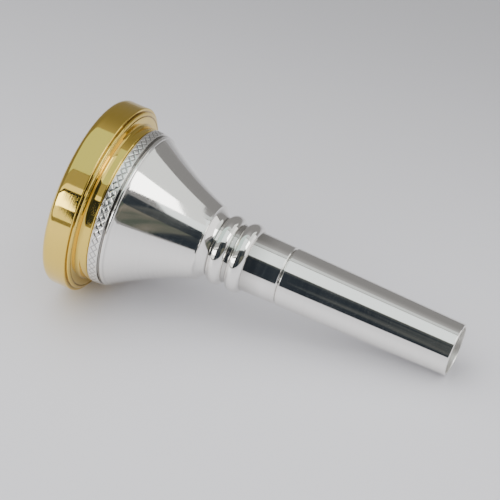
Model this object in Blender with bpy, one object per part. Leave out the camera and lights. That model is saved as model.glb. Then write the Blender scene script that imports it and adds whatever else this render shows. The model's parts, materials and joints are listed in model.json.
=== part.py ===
"""A three-part brass mouthpiece: screw-on rim, cup and screw-in shank, with a seal at each screw joint.

Every piece is turned about one axis. That axis is local Z of the empty "turning_axis", in metres:
height 0 is the open end of the shank and heights grow toward the rim. The empty lays the
mouthpiece on its side, so that the edge of the rim and the end of the shank both touch the ground.
"""

import math

import bpy
import numpy as np

# ---------------------------------------------------------------- driving dimensions, metres

SIDES = 36                      # flats around every turned piece
GAP = 0.0003                    # clearance between pieces that touch
ROWS_PER_TURN = 6               # rings of vertices in one pitch of a screw thread
SHARP_EDGE = 35.0               # degrees; faces that meet at more are shaded as an edge

# straight steps in each curved stretch of an outline
BEAD_STEPS = 6
COVE_STEPS = 3
BODY_STEPS = 4
BOWL_STEPS = 7
FILLET_STEPS = 2
BACK_STEPS = 3
CREST_STEPS = 7
BITE_STEPS = 5
SEAL_POINTS = 8                 # corners in the section of a sealing ring

# shank: the tapered tube that goes into the instrument
END_RADIUS = 0.00545            # outer radius at the open end
END_WALL = 0.00055              # wall left at the open end
END_CHAMFER = 0.00015
SHANK_TOP = 0.0368              # height of the joint between shank and cup
SHANK_TOP_RADIUS = 0.00616
JOINT_CHAMFER = 0.00022         # the two small chamfers that make the joint line

# screw joint between shank and cup
SHANK_SPIGOT_LAND = 0.0043      # radius of the plain neck that the sealing ring sits on
SHANK_SPIGOT_TOP = 0.0444
SHANK_THREAD_RADIUS = 0.00475   # mean radius of the thread on the spigot
SHANK_PITCH = 0.0010
SHANK_THREAD_FROM = 0.0396
SHANK_THREAD_TURNS = 4
SHANK_SEAT_DEPTH = 0.0013       # depth of the pocket for the sealing ring
SHANK_SEAT_RADIUS = 0.0055

# the air passage
THROAT_RADIUS = 0.00345
THROAT_HEIGHT = 0.0545          # the narrowest place, where cup turns into bore
THROAT_END = 0.0490
BORE_AT_SPIGOT = 0.00360
CUP_MOUTH_RADIUS = 0.01245      # inside radius at the top of the cup piece
CUP_DEPTH_POWER = 2.3           # 2 is a round bowl, more is squarer

# neck with its two beads
NECK_RADIUS = 0.00612
BEAD_RADIUS = 0.00150
BEAD_CENTRE_RADIUS = 0.00586
LOWER_BEAD = 0.0461
UPPER_BEAD = 0.05025
GROOVE_RADIUS = 0.00624         # floor of the grooves beside the beads
COVE_BOTTOM = 0.0521

# body of the cup
BODY_BOTTOM = 0.0540
BODY_BOTTOM_RADIUS = 0.00800
BODY_TOP = 0.0698
BODY_TOP_RADIUS = 0.01580
BODY_FLARE = 0.0006             # how far the side bows inward from a straight cone
BEAD_BAND_RADIUS = 0.01625
BAND_GROOVE = 0.0707
BAND_GROOVE_DEPTH = 0.0002
BAND_BOTTOM = 0.0710
BAND_RADIUS = 0.01645
BAND_TOP = 0.0732               # height of the joint between cup and rim

# screw joint between cup and rim
RIM_SPIGOT_LAND = 0.0138
RIM_SPIGOT_TOP = 0.0781
RIM_THREAD_RADIUS = 0.0142
RIM_PITCH = 0.00125
RIM_THREAD_FROM = 0.0746
RIM_THREAD_TURNS = 2.5
RIM_SEAT_DEPTH = 0.0012
RIM_SEAT_RADIUS = 0.0159
RIM_RING_INNER = 0.01485

THREAD_HEIGHT = 0.00028         # half of the distance between crest and root
THREAD_FADE = 0.5               # turns over which a thread runs out at each end

# rim
RIM_NECK_RADIUS = 0.0166
RIM_BACK_INNER = 0.0755         # height where the back face starts at the neck
RIM_BACK_INNER_RADIUS = 0.0171
RIM_BACK_OUTER = 0.0760
RIM_BACK_RADIUS = 0.0193
RIM_FILLET = 0.0008             # hollow corner between the neck and the back face
RIM_RADIUS = 0.0200
RIM_EDGE_BOTTOM = 0.0763
RIM_CHAMFER = 0.00015
RIM_EDGE_TOP = 0.0801
RIM_CREST = 0.0822              # the highest ring, which the player's lips meet
RIM_CREST_RADIUS = 0.0159
RIM_CREST_FLAT = 0.0005
RIM_BITE_RADIUS = 0.01290       # inner edge of the playing face
RIM_BITE_DROP = 0.0011

# ---------------------------------------------------------------- colours: linear RGB, roughness, metallic

GOLD_PLATE = ((0.78, 0.56, 0.25), 0.14, 1.0)
SILVER_PLATE = ((0.86, 0.85, 0.82), 0.10, 1.0)
BLACK_RUBBER = ((0.02, 0.02, 0.02), 0.60, 0.0)


# ---------------------------------------------------------------- outline helpers: lists of (height, radius)


def arc(centre_height, centre_radius, radius, start, end, steps):
    """Points on a circle; angle 0 points away from the axis and 90 degrees points up to the rim."""
    points = []
    for angle in np.radians(np.linspace(start, end, steps + 1)):
        height = centre_height + radius * math.sin(angle)
        points.append((height, centre_radius + radius * math.cos(angle)))
    return points


def quarter(start, end, steps, hollow):
    """A quarter of an ellipse from one point to another; a hollow one starts out along the axis."""
    points = []
    for turn in np.linspace(0.0, math.pi / 2, steps + 1):
        if hollow:
            along, across = math.sin(turn), 1.0 - math.cos(turn)
        else:
            along, across = 1.0 - math.cos(turn), math.sin(turn)
        height = start[0] + (end[0] - start[0]) * along
        points.append((height, start[1] + (end[1] - start[1]) * across))
    return points


def bowed(start, end, bow, steps):
    """A line between two points that bows inward by the given depth at its middle."""
    points = []
    for part in np.linspace(0.0, 1.0, steps + 1):
        height = start[0] + (end[0] - start[0]) * part
        radius = start[1] + (end[1] - start[1]) * part
        points.append((height, radius - bow * 4.0 * part * (1.0 - part)))
    return points


def thread(first, turns, pitch, mean_radius, run_out):
    """Rings of a screw thread, as (height, mean radius, thread height, pitch), from the bottom up.

    At both ends the thread fades into a plain ring, of the run-out radius.
    """
    count = int(round(turns * ROWS_PER_TURN))
    rows = []
    for row in range(count + 1):
        from_end = min(row, count - row) / ROWS_PER_TURN
        fade = min(1.0, from_end / THREAD_FADE)
        radius = run_out + (mean_radius - run_out) * fade
        rows.append((first + row * pitch / ROWS_PER_TURN, radius, THREAD_HEIGHT * fade, pitch))
    return rows


def outer_thread(first, turns, pitch, mean_radius):
    """A thread on a spigot: its ends sink to the root, so that the socket's thread clears them."""
    return thread(first, turns, pitch, mean_radius, mean_radius - THREAD_HEIGHT)


def inner_thread(first, turns, pitch, mean_radius):
    """The thread of a socket around a spigot of that mean radius, from the top down."""
    clear = mean_radius + GAP
    return thread(first, turns, pitch, clear, clear + THREAD_HEIGHT)[::-1]


# ---------------------------------------------------------------- turning


def ring_vertices(row):
    """One ring of vertices around Z. On a thread the radius follows a right-handed helix."""
    height, radius = row[0], row[1]
    depth, pitch = (row[2], row[3]) if len(row) > 2 else (0.0, 1.0)
    ring = []
    for side in range(SIDES):
        angle = 2.0 * math.pi * (side + 0.5) / SIDES
        wave = depth * math.cos(2.0 * math.pi * height / pitch - angle)
        ring.append(((radius + wave) * math.cos(angle), (radius + wave) * math.sin(angle), height))
    return ring


def turned(name, outline, finish, parent):
    """Turn a closed outline about Z into one solid piece.

    The outline goes up the outside and comes down the inside, so every face points out.
    """
    vertices = []
    for row in outline:
        vertices.extend(ring_vertices(row))
    faces = []
    rows = len(outline)
    for row in range(rows):
        below = row * SIDES
        above = ((row + 1) % rows) * SIDES
        for side in range(SIDES):
            beside = (side + 1) % SIDES
            faces.append((below + side, below + beside, above + beside, above + side))
    mesh = bpy.data.meshes.new(name)
    mesh.from_pydata(vertices, [], faces)
    mesh.validate()
    mesh.shade_smooth()
    mesh.set_sharp_from_angle(angle=math.radians(SHARP_EDGE))
    mesh.materials.append(material(name, *finish))
    piece = bpy.data.objects.new(name, mesh)
    piece.parent = parent
    bpy.context.scene.collection.objects.link(piece)
    return piece


def material(name, colour, roughness, metallic):
    """A plain surface with one colour."""
    made = bpy.data.materials.new(name)
    made.use_nodes = True
    shader = made.node_tree.nodes["Principled BSDF"]
    shader.inputs["Base Color"].default_value = (*colour, 1.0)
    shader.inputs["Roughness"].default_value = roughness
    shader.inputs["Metallic"].default_value = metallic
    return made


# ---------------------------------------------------------------- outlines of the pieces


def shank_outline():
    """Tapered tube with a threaded spigot on top, and a bore that opens toward the end."""
    root = SHANK_THREAD_RADIUS - THREAD_HEIGHT
    outline = [
        (0.0, END_RADIUS - END_CHAMFER),
        (END_CHAMFER, END_RADIUS),
        (SHANK_TOP - JOINT_CHAMFER, SHANK_TOP_RADIUS),
        (SHANK_TOP, SHANK_TOP_RADIUS - JOINT_CHAMFER),
        (SHANK_TOP, SHANK_SPIGOT_LAND),
        (SHANK_THREAD_FROM - GAP, SHANK_SPIGOT_LAND),
    ]
    outline += outer_thread(SHANK_THREAD_FROM, SHANK_THREAD_TURNS, SHANK_PITCH, SHANK_THREAD_RADIUS)
    outline += [
        (SHANK_SPIGOT_TOP - THREAD_HEIGHT, root),
        (SHANK_SPIGOT_TOP, root - THREAD_HEIGHT),
        (SHANK_SPIGOT_TOP, BORE_AT_SPIGOT),
        (SHANK_TOP, BORE_AT_SPIGOT),
        (END_CHAMFER, END_RADIUS - END_WALL),
        (0.0, END_RADIUS - END_WALL + END_CHAMFER / 2.0),
    ]
    return outline


def shank_o_ring_outline():
    """Flat sealing ring around the foot of the shank's spigot."""
    bottom = SHANK_TOP + GAP
    top = SHANK_TOP + SHANK_SEAT_DEPTH - GAP
    return ring_section(bottom, top, SHANK_SPIGOT_LAND + GAP, SHANK_SEAT_RADIUS - GAP)


def rim_o_ring_outline():
    """Flat sealing ring on the cup's shoulder, in a pocket inside the rim."""
    bottom = BAND_TOP + GAP
    top = BAND_TOP + RIM_SEAT_DEPTH - GAP
    return ring_section(bottom, top, RIM_RING_INNER, RIM_SEAT_RADIUS - GAP)


def ring_section(bottom, top, inner, outer):
    """An oval section between two heights and two radii."""
    middle_height = (bottom + top) / 2.0
    middle_radius = (inner + outer) / 2.0
    outline = []
    for angle in np.linspace(0.0, 2.0 * math.pi, SEAL_POINTS, endpoint=False):
        height = middle_height + (top - bottom) / 2.0 * math.sin(angle)
        outline.append((height, middle_radius + (outer - inner) / 2.0 * math.cos(angle)))
    return outline


def cup_outline():
    """Neck, beads, body and band outside; spigot and thread on top; bowl, throat and socket inside."""
    outline = cup_outside()
    outline += cup_spigot()
    outline += cup_bowl()
    outline += cup_socket()
    return outline


def cup_outside():
    """From the joint line up the neck, over both beads, the cove, the body and the band."""
    bottom = SHANK_TOP + GAP
    neck_drop = math.degrees(math.acos((NECK_RADIUS - BEAD_CENTRE_RADIUS) / BEAD_RADIUS))
    bead_drop = math.degrees(math.acos((GROOVE_RADIUS - BEAD_CENTRE_RADIUS) / BEAD_RADIUS))
    outline = [
        (bottom, NECK_RADIUS - JOINT_CHAMFER),
        (bottom + JOINT_CHAMFER, NECK_RADIUS),
    ]
    outline += arc(LOWER_BEAD, BEAD_CENTRE_RADIUS, BEAD_RADIUS, -neck_drop, bead_drop, BEAD_STEPS)
    outline += arc(UPPER_BEAD, BEAD_CENTRE_RADIUS, BEAD_RADIUS, -bead_drop, bead_drop, BEAD_STEPS)
    cove = ((COVE_BOTTOM, GROOVE_RADIUS), (BODY_BOTTOM, BODY_BOTTOM_RADIUS))
    outline += quarter(*cove, COVE_STEPS, hollow=True)
    body_bottom = (BODY_BOTTOM + JOINT_CHAMFER, BODY_BOTTOM_RADIUS)
    outline += bowed(body_bottom, (BODY_TOP, BODY_TOP_RADIUS), BODY_FLARE, BODY_STEPS)
    outline += [
        (BODY_TOP + JOINT_CHAMFER, BEAD_BAND_RADIUS),
        (BAND_GROOVE, BEAD_BAND_RADIUS),
        (BAND_GROOVE, BEAD_BAND_RADIUS - BAND_GROOVE_DEPTH),
        (BAND_BOTTOM, BEAD_BAND_RADIUS - BAND_GROOVE_DEPTH),
        (BAND_BOTTOM, BAND_RADIUS),
        (BAND_TOP - BAND_GROOVE_DEPTH, RIM_NECK_RADIUS),
        (BAND_TOP, RIM_NECK_RADIUS - BAND_GROOVE_DEPTH),
    ]
    return outline


def cup_spigot():
    """The threaded spigot that the rim screws onto."""
    root = RIM_THREAD_RADIUS - THREAD_HEIGHT
    outline = [
        (BAND_TOP, RIM_SPIGOT_LAND),
        (RIM_THREAD_FROM - GAP, RIM_SPIGOT_LAND),
    ]
    outline += outer_thread(RIM_THREAD_FROM, RIM_THREAD_TURNS, RIM_PITCH, RIM_THREAD_RADIUS)
    outline += [
        (RIM_SPIGOT_TOP - THREAD_HEIGHT, root),
        (RIM_SPIGOT_TOP, root - THREAD_HEIGHT),
    ]
    return outline


def cup_bowl():
    """The bowl, from its mouth down to the throat, then the start of the bore."""
    outline = []
    for part in np.linspace(0.0, 1.0, BOWL_STEPS + 1):
        radius = CUP_MOUTH_RADIUS + (THROAT_RADIUS - CUP_MOUTH_RADIUS) * part
        widest = (radius - THROAT_RADIUS) / (CUP_MOUTH_RADIUS - THROAT_RADIUS)
        height = THROAT_HEIGHT + (RIM_SPIGOT_TOP - THROAT_HEIGHT) * widest ** CUP_DEPTH_POWER
        outline.append((height, radius))
    outline.append((THROAT_END, THROAT_RADIUS))
    outline.append((SHANK_SPIGOT_TOP + GAP, BORE_AT_SPIGOT - GAP / 2.0))
    return outline


def cup_socket():
    """The threaded socket in the neck, and the pocket for the sealing ring at its mouth."""
    outline = [(SHANK_SPIGOT_TOP + GAP, SHANK_THREAD_RADIUS + THREAD_HEIGHT + GAP)]
    first = SHANK_THREAD_FROM - SHANK_PITCH / 2.0
    outline += inner_thread(first, SHANK_THREAD_TURNS, SHANK_PITCH, SHANK_THREAD_RADIUS)
    outline += [
        (SHANK_TOP + SHANK_SEAT_DEPTH, SHANK_THREAD_RADIUS + THREAD_HEIGHT + GAP),
        (SHANK_TOP + SHANK_SEAT_DEPTH, SHANK_SEAT_RADIUS),
        (SHANK_TOP + GAP, SHANK_SEAT_RADIUS),
    ]
    return outline


def rim_outline():
    """Neck, stepped back, straight edge and rounded playing face; threaded socket inside."""
    outline = rim_outside()
    outline += rim_face()
    outline += rim_socket()
    return outline


def rim_outside():
    """From the joint with the cup, around the back of the rim and up its straight edge."""
    bottom = BAND_TOP + GAP
    outline = [
        (bottom, RIM_NECK_RADIUS - BAND_GROOVE_DEPTH),
        (bottom + BAND_GROOVE_DEPTH, RIM_NECK_RADIUS),
    ]
    back_inner = (RIM_BACK_INNER, RIM_BACK_INNER_RADIUS)
    fillet_start = (RIM_BACK_INNER - RIM_FILLET, RIM_NECK_RADIUS)
    outline += quarter(fillet_start, back_inner, FILLET_STEPS, hollow=True)
    back_outer = (RIM_BACK_OUTER, RIM_BACK_RADIUS)
    outline += quarter(back_inner, back_outer, BACK_STEPS, hollow=False)[1:]
    outline += [
        (RIM_EDGE_BOTTOM, RIM_BACK_RADIUS),
        (RIM_EDGE_BOTTOM, RIM_RADIUS - RIM_CHAMFER),
        (RIM_EDGE_BOTTOM + RIM_CHAMFER, RIM_RADIUS),
    ]
    return outline


def rim_face():
    """Rounded from the edge over the crest to the inner edge of the playing face."""
    crest_outer = RIM_CREST_RADIUS + RIM_CREST_FLAT
    edge = (RIM_EDGE_TOP, RIM_RADIUS)
    outline = quarter((RIM_CREST, crest_outer), edge, CREST_STEPS, hollow=False)[::-1]
    bite = (RIM_CREST - RIM_BITE_DROP, RIM_BITE_RADIUS)
    outline += quarter((RIM_CREST, RIM_CREST_RADIUS), bite, BITE_STEPS, hollow=False)
    return outline


def rim_socket():
    """Top of the bowl inside the rim, then the threaded socket and the sealing ring's pocket."""
    clear = RIM_THREAD_RADIUS + THREAD_HEIGHT + GAP
    outline = [
        (RIM_SPIGOT_TOP + GAP, CUP_MOUTH_RADIUS),
        (RIM_SPIGOT_TOP + GAP, clear),
    ]
    outline += inner_thread(RIM_THREAD_FROM, RIM_THREAD_TURNS, RIM_PITCH, RIM_THREAD_RADIUS)
    outline += [
        (BAND_TOP + RIM_SEAT_DEPTH, clear),
        (BAND_TOP + RIM_SEAT_DEPTH, RIM_SEAT_RADIUS),
        (BAND_TOP + GAP, RIM_SEAT_RADIUS),
    ]
    return outline


# ---------------------------------------------------------------- placing


def lying_empty():
    """The axis that all pieces are turned about, laid down with the rim at -X and resting on the ground."""
    flat = math.cos(math.pi / SIDES)
    rise = (RIM_RADIUS - END_RADIUS) * flat
    run = RIM_EDGE_BOTTOM + RIM_CHAMFER - END_CHAMFER
    tilt = math.atan2(rise, run)
    along, up = math.cos(tilt), math.sin(tilt)
    corners = [row[:2] for row in rim_outline() + shank_outline()]
    left = min(-height * along - radius * up * flat for height, radius in corners)
    right = max(-height * along + radius * up * flat for height, radius in corners)
    floor = min(height * up - radius * along * flat for height, radius in corners)
    empty = bpy.data.objects.new("turning_axis", None)
    empty.rotation_euler = (0.0, tilt - math.pi / 2.0, 0.0)
    empty.location = (-(left + right) / 2.0, 0.0, -floor)
    bpy.context.scene.collection.objects.link(empty)
    return empty


def main():
    for thing in list(bpy.data.objects):
        bpy.data.objects.remove(thing)
    axis = lying_empty()
    turned("rim", rim_outline(), GOLD_PLATE, axis)
    turned("rim_o_ring", rim_o_ring_outline(), BLACK_RUBBER, axis)
    turned("cup", cup_outline(), SILVER_PLATE, axis)
    turned("shank_o_ring", shank_o_ring_outline(), BLACK_RUBBER, axis)
    turned("shank", shank_outline(), SILVER_PLATE, axis)


main()
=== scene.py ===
"""The looks of a three-part brass mouthpiece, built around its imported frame.

Every piece is a surface of revolution. A place on it is given by its height along the turning axis,
where 0 is the open end of the shank and heights grow toward the rim, by its radius, and by an angle.
"""

import json
import math

import bpy
import numpy as np
from bpy.props import FloatProperty, FloatVectorProperty, IntProperty, PointerProperty
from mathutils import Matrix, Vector


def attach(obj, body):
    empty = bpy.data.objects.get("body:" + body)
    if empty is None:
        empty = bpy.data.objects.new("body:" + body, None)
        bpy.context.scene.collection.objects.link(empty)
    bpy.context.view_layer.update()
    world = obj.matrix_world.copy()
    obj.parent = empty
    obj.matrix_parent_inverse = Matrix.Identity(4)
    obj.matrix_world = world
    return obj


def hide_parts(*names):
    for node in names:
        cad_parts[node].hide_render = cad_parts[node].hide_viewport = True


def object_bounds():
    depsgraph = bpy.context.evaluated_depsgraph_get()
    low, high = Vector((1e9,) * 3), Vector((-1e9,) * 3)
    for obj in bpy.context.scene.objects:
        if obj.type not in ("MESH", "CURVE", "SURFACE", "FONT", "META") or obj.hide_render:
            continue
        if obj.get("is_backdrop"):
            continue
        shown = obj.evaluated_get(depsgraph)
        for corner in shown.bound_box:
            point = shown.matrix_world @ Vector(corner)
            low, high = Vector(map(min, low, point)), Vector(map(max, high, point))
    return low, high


bl_info = {
    "name": "Brass mouthpiece",
    "version": (1, 0, 0),
    "blender": (4, 5, 0),
    "location": "3D View > Sidebar > Mouthpiece",
    "description": "Builds a brass mouthpiece with a screw-on rim, and the stage it lies on",
    "category": "Object",
}

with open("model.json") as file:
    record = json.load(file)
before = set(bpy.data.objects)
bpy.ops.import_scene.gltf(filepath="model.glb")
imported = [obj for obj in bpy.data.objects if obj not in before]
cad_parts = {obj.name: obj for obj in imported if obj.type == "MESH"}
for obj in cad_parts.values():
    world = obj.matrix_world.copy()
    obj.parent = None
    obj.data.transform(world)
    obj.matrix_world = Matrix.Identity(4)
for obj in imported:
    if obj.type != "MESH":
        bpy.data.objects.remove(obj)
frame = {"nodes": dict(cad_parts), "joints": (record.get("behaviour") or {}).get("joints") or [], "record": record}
CAD_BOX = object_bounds()

# ---------------------------------------------------------------- what the frame says


def named(rows, name):
    """The joint or mount of that name."""
    return next(row for row in rows if row["name"] == name)


RIM_TURN = named(frame["joints"], "rim_turn")
END_FACE = named(frame["record"]["mounts"], "shank_end")
UP = Vector(RIM_TURN["axis"]).normalized()      # along the turning axis, from shank to rim
SIDEWAYS = Vector((0.0, 1.0, 0.0))
ACROSS = SIDEWAYS.cross(UP)
ON_AXIS = Vector(RIM_TURN["pos_m"])
END = ON_AXIS + UP * (Vector(END_FACE["pos_m"]) - ON_AXIS).dot(UP)      # centre of the open end


def span(node):
    """Lowest height, highest height and greatest radius of a node of the frame."""
    vertices = frame["nodes"][node].data.vertices
    places = np.empty(len(vertices) * 3, np.float32)
    vertices.foreach_get("co", places)
    from_end = places.reshape(-1, 3) - np.array(END)
    height = from_end @ np.array(UP)
    radius = np.linalg.norm(from_end - np.outer(height, UP), axis=1)
    return float(height.min()), float(height.max()), float(radius.max())


def pitch(slide):
    """How far that slide travels in one turn of the screw it follows."""
    rows = frame["record"]["behaviour"]["couplings"]
    return 2.0 * math.pi * next(row["ratio"] for row in rows if row["joint"] == slide)


MM = 0.001
CAD_GAP = 0.3 * MM          # what the frame leaves between solids that touch
RIM_BOTTOM, CREST, RIM_RADIUS = span("rim")
CUP_BOTTOM, CUP_TOP, _ = span("cup")
_, SHANK_TOP, SHANK_RADIUS = span("shank")
RIM_JOINT = RIM_BOTTOM - CAD_GAP
SHANK_JOINT = CUP_BOTTOM - CAD_GAP
RIM_PITCH = pitch("rim_travel")
SHANK_PITCH = pitch("shank_travel")

# ---------------------------------------------------------------- sizes that hold for every piece

ROUND = 0.06 * MM           # edges are broken by this much, as polishing leaves them
FLAT_UNTIL = 0.10 * MM      # how far beyond a broken edge smooth shading may reach
CORNER_STEPS = 4
MOST_CUT, MOST_HELD = 0.3, 0.45             # shares of an edge that its broken end may take
CORNER_ANGLE = 10.0         # degrees; gentler turns belong to a curve and stay as they are
SIDES = 180                 # faces around a piece
RIM_SIDES = 224
SEAL_SIDES = 128
JOINT_GAP = 0.07 * MM       # hairline between pieces that are screwed together
JOINT_CHAMFER = 0.30 * MM
THREAD_ROWS = 16            # rings of vertices in one turn of a thread
THREAD_DEPTH = 0.28 * MM    # half of the distance between crest and root
THREAD_FADE = 0.5           # turns over which a thread runs out at each end
THREAD_SHARPNESS = 0.94     # near 1 is a V with knife edges, near 0 a sine wave
HOLLOW_REACH = 0.25 * MM    # how far the painted shade spreads from a corner
HOLLOW_DEPTH = 0.12 * MM    # depth of a groove that counts as fully hollow

# ---------------------------------------------------------------- outlines
# Their rows are height, radius, thread depth and thread pitch.


def straight(*points):
    """A stretch of outline through corners given as (height, radius)."""
    rows = np.zeros((len(points), 4))
    rows[:, :2] = points
    return rows


def arc(height, radius, size, start, end, steps=24):
    """Part of a circle about (height, radius); 0 degrees points away from the axis, 90 to the rim."""
    angle = np.radians(np.linspace(start, end, steps + 1))
    rows = np.zeros((steps + 1, 4))
    rows[:, 0] = height + size * np.sin(angle)
    rows[:, 1] = radius + size * np.cos(angle)
    return rows


def quarter(start, end, hollow, steps=24, fullness=2.0):
    """A quarter ellipse between two (height, radius); a hollow one sets out along the axis.

    cos and sin are raised to 2 / fullness, so that more than 2 gives a squarer corner.
    """
    turn = np.linspace(0.0, math.pi / 2.0, steps + 1)
    power = 2.0 / fullness
    slow, fast = 1.0 - np.cos(turn).clip(0.0) ** power, np.sin(turn) ** power
    along, across = (fast, slow) if hollow else (slow, fast)
    rows = np.zeros((steps + 1, 4))
    rows[:, 0] = start[0] + (end[0] - start[0]) * along
    rows[:, 1] = start[1] + (end[1] - start[1]) * across
    return rows


def bowed(start, end, bow, steps=24):
    """A line between two (height, radius) that sinks by bow at its middle, as a parabola."""
    part = np.linspace(0.0, 1.0, steps + 1)
    rows = np.zeros((steps + 1, 4))
    rows[:, 0] = start[0] + (end[0] - start[0]) * part
    rows[:, 1] = start[1] + (end[1] - start[1]) * part - bow * 4.0 * part * (1.0 - part)
    return rows


def thread(first, turns, screw_pitch, mean_radius, run_out):
    """A threaded stretch, whose depth fades out at both ends, at radius run_out."""
    turn = np.linspace(0.0, turns, int(round(turns * THREAD_ROWS)) + 1)
    fade = np.clip(np.minimum(turn, turns - turn) / THREAD_FADE, 0.0, 1.0)
    rows = np.zeros((len(turn), 4))
    rows[:, 0] = first + turn * screw_pitch
    rows[:, 1] = run_out + (mean_radius - run_out) * fade
    rows[:, 2] = THREAD_DEPTH * fade
    rows[:, 3] = screw_pitch
    return rows


def broken_edges(outline):
    """A closed outline with its sharp corners rounded.

    A corner P with unit directions a and b to its neighbours becomes the curve
    (1-t)^2 (P + c a) + 2 t (1-t) P + t^2 (P + c b), and one more row on either side, a little
    farther out, holds the flats flat under smooth shading.
    """
    point = outline[:, :2]
    back = np.roll(point, 1, axis=0) - point
    ahead = np.roll(point, -1, axis=0) - point
    back_length = np.linalg.norm(back, axis=1, keepdims=True)
    ahead_length = np.linalg.norm(ahead, axis=1, keepdims=True)
    back, ahead = back / back_length, ahead / ahead_length
    bend = np.degrees(np.arccos(np.clip(-(back * ahead).sum(1), -1.0, 1.0)))
    sharp = (bend > CORNER_ANGLE) & (outline[:, 2] == 0.0)
    shorter = np.minimum(back_length, ahead_length)
    cut = np.minimum(ROUND, MOST_CUT * shorter)
    hold = np.minimum(cut + FLAT_UNTIL, MOST_HELD * shorter)
    t = np.linspace(0.0, 1.0, CORNER_STEPS + 1)[None, :, None]
    near, far = (point + cut * back)[:, None], (point + cut * ahead)[:, None]
    curve = (1.0 - t) ** 2 * near + 2.0 * t * (1.0 - t) * point[:, None] + t ** 2 * far
    before, after = (point + hold * back)[:, None], (point + hold * ahead)[:, None]
    corner = np.concatenate([before, curve, after], axis=1)
    rows = np.zeros((*corner.shape[:2], 4))
    rows[..., :2] = corner
    rows[~sharp, 0] = outline[~sharp]
    kept = sharp[:, None] | (np.arange(corner.shape[1]) == 0)
    return rows[kept]


def hollows(outline):
    """How deep in a corner each row lies, from 0 on a flat to 1 in a right-angled hollow.

    The turns toward the open side are added up, each weighted by exp(-(distance / reach)^2).
    """
    point = outline[:, :2]
    ahead = np.roll(point, -1, axis=0) - point
    behind = point - np.roll(point, 1, axis=0)
    cross = behind[:, 0] * ahead[:, 1] - behind[:, 1] * ahead[:, 0]
    turn = np.arctan2(cross, (ahead * behind).sum(1))
    distance = np.linalg.norm(point[:, None] - point[None], axis=2)
    nearness = np.exp(-((distance / HOLLOW_REACH) ** 2))
    return np.clip((nearness * np.clip(turn, 0.0, None)).sum(1) / (math.pi / 2.0), 0.0, 1.0)


# ---------------------------------------------------------------- turning


def wave(phase):
    """The section of a thread: a triangle wave with rounded crests, asin(k cos x) / asin(k)."""
    return np.arcsin(THREAD_SHARPNESS * np.cos(phase)) / math.asin(THREAD_SHARPNESS)


def turned(name, outline, finish, body, sides=SIDES, relief=None, lining=None):
    """A closed outline turned about the axis into one piece that rides on a body.

    A place stands at END + height UP + r (cos angle ACROSS + sin angle SIDEWAYS), where
    r = radius + depth wave(2 pi height / pitch - angle) + relief(height, angle). The outline goes
    up the outside and down the inside, so that faces point out. A lining is a second material,
    for everything past the outline's highest place.
    """
    height, radius, depth, screw_pitch = (column[:, None] for column in outline.T)
    angle = np.linspace(0.0, 2.0 * math.pi, sides, endpoint=False)[None, :]
    phase = 2.0 * math.pi * height / np.where(screw_pitch > 0.0, screw_pitch, 1.0) - angle
    carved = depth * wave(phase) + (relief(height, angle) if relief else 0.0)
    r = radius + carved
    places = (
        np.array(END)
        + height[..., None] * np.array(UP)
        + (r * np.cos(angle))[..., None] * np.array(ACROSS)
        + (r * np.sin(angle))[..., None] * np.array(SIDEWAYS)
    )
    rows = len(outline)
    row, side = np.meshgrid(np.arange(rows), np.arange(sides), indexing="ij")
    above, beside = (row + 1) % rows, (side + 1) % sides
    faces = np.stack([row * sides + side, row * sides + beside, above * sides + beside,
                      above * sides + side], axis=-1).reshape(-1, 4)
    steps = np.linalg.norm(np.roll(outline[:, :2], -1, axis=0) - outline[:, :2], axis=1)
    run = np.append(0.0, np.cumsum(steps)) / MM
    around = np.stack([side, side + 1, side + 1, side], axis=-1) / sides
    along = np.stack([run[row], run[row], run[row + 1], run[row + 1]], axis=-1)
    mesh = filled(name, places.reshape(-1, 3), faces, np.stack([around, along], axis=-1))
    # How deep in a corner or cut each place lies; the materials paint shade there.
    deep = np.maximum(hollows(outline)[:, None], np.clip(-carved / HOLLOW_DEPTH, 0.0, 1.0))
    layer = mesh.attributes.new("hollow", "FLOAT", "POINT")
    layer.data.foreach_set("value", deep.astype(np.float32).ravel())
    mesh.materials.append(finish)
    if lining:
        mesh.materials.append(lining)
        inner = (np.arange(rows) > np.argmax(outline[:, 0])) & (outline[:, 0] > outline[:, 0].min())
        mesh.polygons.foreach_set("material_index", np.repeat(inner.astype(np.int32), sides))
    piece = bpy.data.objects.new(name, mesh)
    bpy.context.scene.collection.objects.link(piece)
    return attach(piece, body)


def filled(name, places, faces, unwrapped=None):
    """A smooth mesh from whole arrays of places, four-cornered faces and UV places."""
    mesh = bpy.data.meshes.new(name)
    mesh.vertices.add(len(places))
    mesh.vertices.foreach_set("co", places.astype(np.float32).ravel())
    mesh.loops.add(faces.size)
    mesh.loops.foreach_set("vertex_index", faces.astype(np.int32).ravel())
    mesh.polygons.add(len(faces))
    mesh.polygons.foreach_set("loop_start", np.arange(0, faces.size, 4, dtype=np.int32))
    if unwrapped is not None:
        layer = mesh.uv_layers.new(name="turning")
        layer.data.foreach_set("uv", unwrapped.astype(np.float32).ravel())
    mesh.update(calc_edges=True)
    mesh.shade_smooth()
    return mesh


# ---------------------------------------------------------------- materials


FINGER_MARK = 9.0 * MM      # width of a smear
LATHE_RINGS = 2.5           # to a millimetre along the outline
MOTTLE = 40.0 * MM          # width of a blotch in the board
MOULD_GRAIN = 0.15 * MM     # of the rubber


def linear(hex_colour):
    """An sRGB hex colour as linear numbers."""
    parts = np.array([int(hex_colour[i:i + 2], 16) for i in (1, 3, 5)]) / 255.0
    low, high = parts / 12.92, ((parts + 0.055) / 1.055) ** 2.4
    return tuple(float(part) for part in np.where(parts < 0.04045, low, high))


def add(tree, kind, sockets=None, **settings):
    """Adds a node. sockets gives each named or numbered input a value, or the output that feeds it."""
    node = tree.nodes.new(kind)
    for name, value in settings.items():
        setattr(node, name, value)
    for name, value in (sockets or {}).items():
        if isinstance(value, bpy.types.NodeSocket):
            tree.links.new(value, node.inputs[name])
        else:
            node.inputs[name].default_value = value
    return node


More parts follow.
